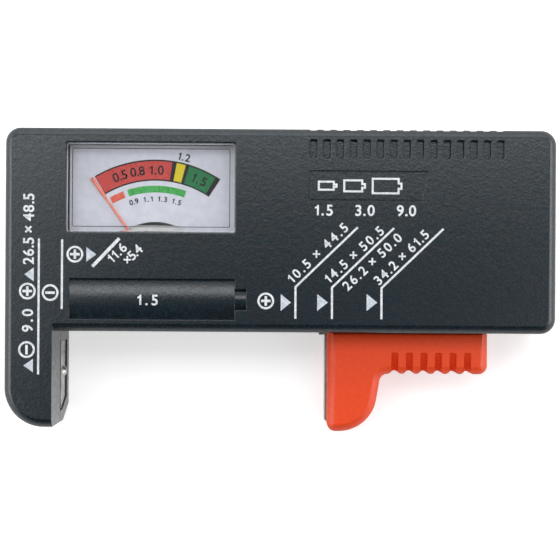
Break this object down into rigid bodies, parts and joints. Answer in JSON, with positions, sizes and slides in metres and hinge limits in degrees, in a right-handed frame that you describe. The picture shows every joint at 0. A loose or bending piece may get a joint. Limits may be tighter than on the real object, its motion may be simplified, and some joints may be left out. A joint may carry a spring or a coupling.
{
  "type": "battery tester",
  "caption": "Flat hand-held battery tester: case with a leg at one end, sliding arm for round cells and button cells, moving-coil meter behind a clear window.",
  "frame": {"origin": "centre of the back face's bounding box: the tester lies on its back", "axes": "+X to the right along the case, +Y to the top edge, +Z out of the front face"},
  "size_m": [0.1108, 0.0616, 0.025],
  "materials": {
    "case_plastic": "fine matt texture",
    "slider_plastic": "satin",
    "window_clear": "clear, polished",
    "scale_card": "printed card",
    "pointer_paint": "satin",
    "meter_plastic": "moulded",
    "hub_plastic": "moulded",
    "contact_nickel": "nickel plate, satin",
    "spring_bronze": "rolled strip",
    "brass_parts": "turned",
    "screw_steel": "zinc plate",
    "yoke_steel": "ground",
    "magnet": "cast",
    "coil_copper": "enamelled wire",
    "former_aluminium": "bright",
    "board_laminate": "paper laminate",
    "resistor_body": "lacquer",
    "resistor_blue": "lacquer",
    "wire_black": "insulation",
    "wire_red": "insulation",
    "wire_blue": "insulation"
  },
  "bodies": {
    "case": {"front_shell": "case_plastic", "back_shell": "case_plastic", "case_screws": "screw_steel", "meter_cover": "window_clear", "meter_base": "meter_plastic", "scale_plate": "scale_card", "core_magnet": "magnet", "yoke_ring": "yoke_steel", "core_spacers": "brass_parts", "bridge": "brass_parts", "bridge_pillars": "brass_parts", "bridge_screws": "screw_steel", "upper_jewel_screw": "brass_parts", "lower_jewel_screw": "brass_parts", "zero_adjuster": "brass_parts", "meter_terminals": "brass_parts", "lower_spring_post": "brass_parts", "pointer_stops": "screw_steel", "upper_hairspring": "spring_bronze", "lower_hairspring": "spring_bronze", "leg_contact": "contact_nickel", "nine_volt_positive": "contact_nickel", "nine_volt_negative": "contact_nickel", "cell_rail": "contact_nickel", "button_rail": "contact_nickel", "circuit_board": "board_laminate", "board_screws": "screw_steel", "cell_load_resistor": "resistor_body", "cell_series_resistor": "resistor_blue", "nine_volt_load_resistor": "resistor_body", "nine_volt_series_resistor": "resistor_blue", "leg_wire": "wire_black", "cell_rail_wire": "wire_red", "button_rail_wire": "wire_blue", "nine_volt_positive_wire": "wire_red", "nine_volt_negative_wire": "wire_black", "meter_positive_wire": "wire_red", "meter_negative_wire": "wire_black"},
    "slider": {"slider": "slider_plastic", "slider_contact": "contact_nickel", "slider_wiper": "spring_bronze", "wiper_rivets": "screw_steel"},
    "movement": {"coil_winding": "coil_copper", "coil_former": "former_aluminium", "coil_pivots": "screw_steel", "pointer": "pointer_paint", "pointer_hub": "hub_plastic", "counterweights": "brass_parts"}
  },
  "joints": [
    {"name": "slider_slide", "type": "slide", "parent": "case", "child": "slider", "axis": [1, 0, 0], "range_m": [-0.0534, 0.012]},
    {"name": "pointer_swing", "type": "hinge", "parent": "case", "child": "movement", "pos_m": [-0.0255, 0.0008, 0], "axis": [0, 0, -1], "range_deg": [0, 64], "stiffness_Nm_per_rad": 0.000001, "springref_deg": -5.73, "deforming": ["upper_hairspring", "lower_hairspring"]}
  ]
}
